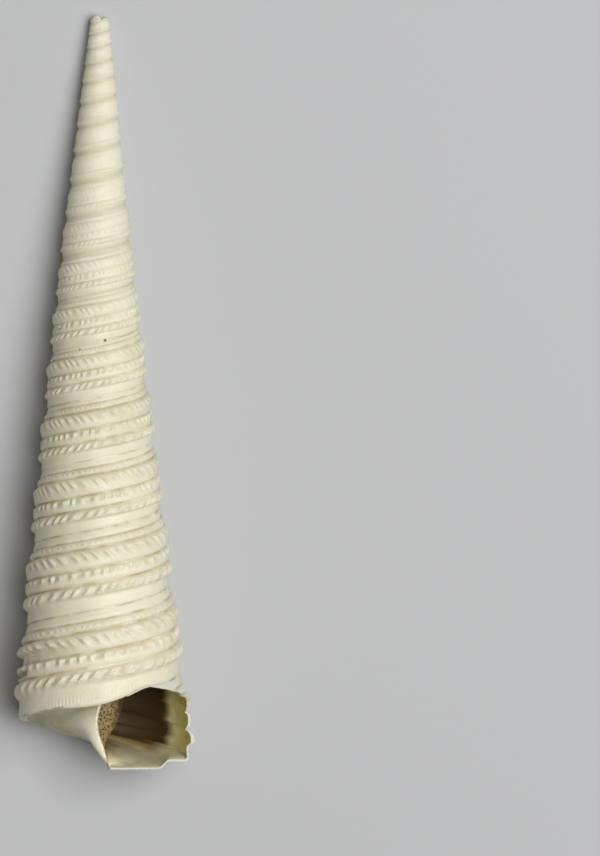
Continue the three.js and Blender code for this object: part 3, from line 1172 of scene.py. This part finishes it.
def shell_material():
    material, tree, shader = new_material("fossil_shell", SHELL_ROUGHNESS)
    place = add(tree, "TexCoord").outputs["Object"]
    spiral = add(tree, "UVMap", uv_map=SPIRAL_MAP).outputs["UV"]
    parts = add(tree, "SeparateXYZ", {"Vector": spiral})
    growth, phase = parts.outputs["X"], parts.outputs["Y"]
    base = add_dirt_and_shade(tree, place, cream_colour(tree, place))
    base = add_specks(tree, place, add_base_stain_and_shade(tree, place, phase, base))
    tree.links.new(base, shader.inputs["Base Color"])
    let_light_through(shader)
    through = compute(tree, "MULTIPLY", number(tree, "thin"), TRANSLUCENCE)
    tree.links.new(through, shader.inputs["Subsurface Weight"])
    add_bump(tree, shader, fine_relief(tree, place, spiral, growth, phase), FINE_RELIEF)
    return material


def wall_and_floor(tree, place):
    """Olive with painted light by the lip, dark brown with painted shade behind, and beige on the floor,
    with a brown line, partly painted shade, above it.
    """
    wall = blend_colours(tree, number(tree, "depth"), LIT_OLIVE, DARK_BROWN_AND_SHADE)
    ground = number(tree, "floor")
    # the brown line where the floor meets the back wall is partly painted shade
    corner = blend_colours(tree, number(tree, "corner"), FLOOR_BROWN_AND_SHADE, BEIGE)
    base = blend_colours(tree, spread(tree, ground, *BROWN_START), wall, corner)
    base = blend_colours(tree, spread(tree, ground, *BROWN_END), base, BEIGE)
    mottle = patches(tree, place, size=0.8, low=0.3, high=0.7, to_high=0.2, detail=4.0)
    return blend_colours(tree, mottle, base, DARK_BROWN_AND_SHADE)


def crust_colour(tree, place):
    """Brown sand with dark pores, turned darker to the right by painted shade."""
    pits = add(tree, "TexVoronoi", {"Vector": place, "Scale": 1 / (PORE_SPACING * MM)})
    pores = spread(tree, pits.outputs["Distance"], *PORE_EDGE)
    crust = blend_colours(tree, pores, PORE, CRUST)
    return blend_colours(tree, number(tree, "shaded"), crust, DARK_BROWN_AND_SHADE)


def inside_material():
    material, tree, shader = new_material("mouth", MOUTH_ROUGHNESS)
    let_light_through(shader)
    place = add(tree, "TexCoord").outputs["Object"]
    base = wall_and_floor(tree, place)
    base = blend_colours(tree, number(tree, "crust"), base, crust_colour(tree, place))
    base = blend_colours(tree, number(tree, "enamel"), base, ENAMEL)
    base = blend_colours(tree, number(tree, "rim"), base, CREAM)
    tree.links.new(base, shader.inputs["Base Color"])
    add_bump(tree, shader, texture(tree, place, size=0.15), MOUTH_RELIEF)
    return material


def floor():
    material, tree, shader = new_material("floor", FLOOR_ROUGHNESS)
    shader.inputs["Base Color"].default_value = FLOOR_COLOUR
    mesh = bpy.data.meshes.new("floor")
    half = FLOOR_SIZE / 2
    corners = [(-half, -half, 0), (half, -half, 0), (half, half, 0), (-half, half, 0)]
    mesh.from_pydata(corners, [], [(0, 1, 2, 3)])
    mesh.materials.append(material)
    made = bpy.data.objects.new("floor", mesh)
    bpy.context.scene.collection.objects.link(made)


def soft_light(name, direction, watts, size, tint):
    """A square soft light that faces the shell from a direction in the viewer's frame."""
    lamp = bpy.data.lights.new(name, "AREA")
    lamp.energy = watts
    lamp.size = size
    lamp.color = tint
    made = bpy.data.objects.new(name, lamp)
    towards = Vector(direction).normalized()
    made.location = SHELL_MIDDLE + towards * LIGHT_DISTANCE
    made.rotation_euler = towards.to_track_quat("Z", "Y").to_euler()
    made.visible_camera = False
    bpy.context.scene.collection.objects.link(made)


def lights():
    world = bpy.data.worlds.new("studio")
    world.use_nodes = True
    background = world.node_tree.nodes["Background"]
    background.inputs["Color"].default_value = WORLD_COLOUR
    background.inputs["Strength"].default_value = WORLD_STRENGTH
    bpy.context.scene.world = world
    for row in LIGHTS:
        soft_light(*row)


def camera():
    """A long lens that sees the shell as the photo does, scale and place included."""
    lens = bpy.data.cameras.new("camera")
    lens.sensor_width = SENSOR
    lens.lens = SENSOR * CAMERA_DISTANCE / (PHOTO_HEIGHT / PIXELS_PER_MM * MM)
    lens.clip_end = 4 * CAMERA_DISTANCE
    made = bpy.data.objects.new("camera", lens)
    back = Vector((0, math.sin(CAMERA_TILT), math.cos(CAMERA_TILT)))
    up = Vector((0, math.cos(CAMERA_TILT), -math.sin(CAMERA_TILT)))
    right = Vector((1, 0, 0))
    turn = Matrix((right, up, back)).transposed() @ Matrix.Rotation(CAMERA_ROLL, 3, "Z")
    x = (PHOTO_WIDTH / 2 - AXIS_PIXEL) / PIXELS_PER_MM
    along_axis = LIP_DISTANCE - (PHOTO_HEIGHT / 2 + PIXEL_SHIFT) / PIXELS_PER_MM
    seen = laid(x, along_axis, 0)
    made.matrix_world = Matrix.Translation(seen + back * CAMERA_DISTANCE) @ turn.to_4x4()
    bpy.context.scene.collection.objects.link(made)
    bpy.context.scene.camera = made


shell = build_shell(shell_material(), inside_material())
thin_out(shell, MOST_TRIANGLES)
add_spiral_map(shell.data)
add_outer_numbers(shell.data, read_points(shell.data))
add_inner_numbers(shell.data, read_points(shell.data))
lay(shell)
shell.data.shade_smooth()
shell.data.set_sharp_from_angle(angle=SHARP_ANGLE)
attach(shell, "root")
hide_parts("shell")
floor()
lights()
camera()
bpy.context.scene.view_settings.view_transform = "Standard"
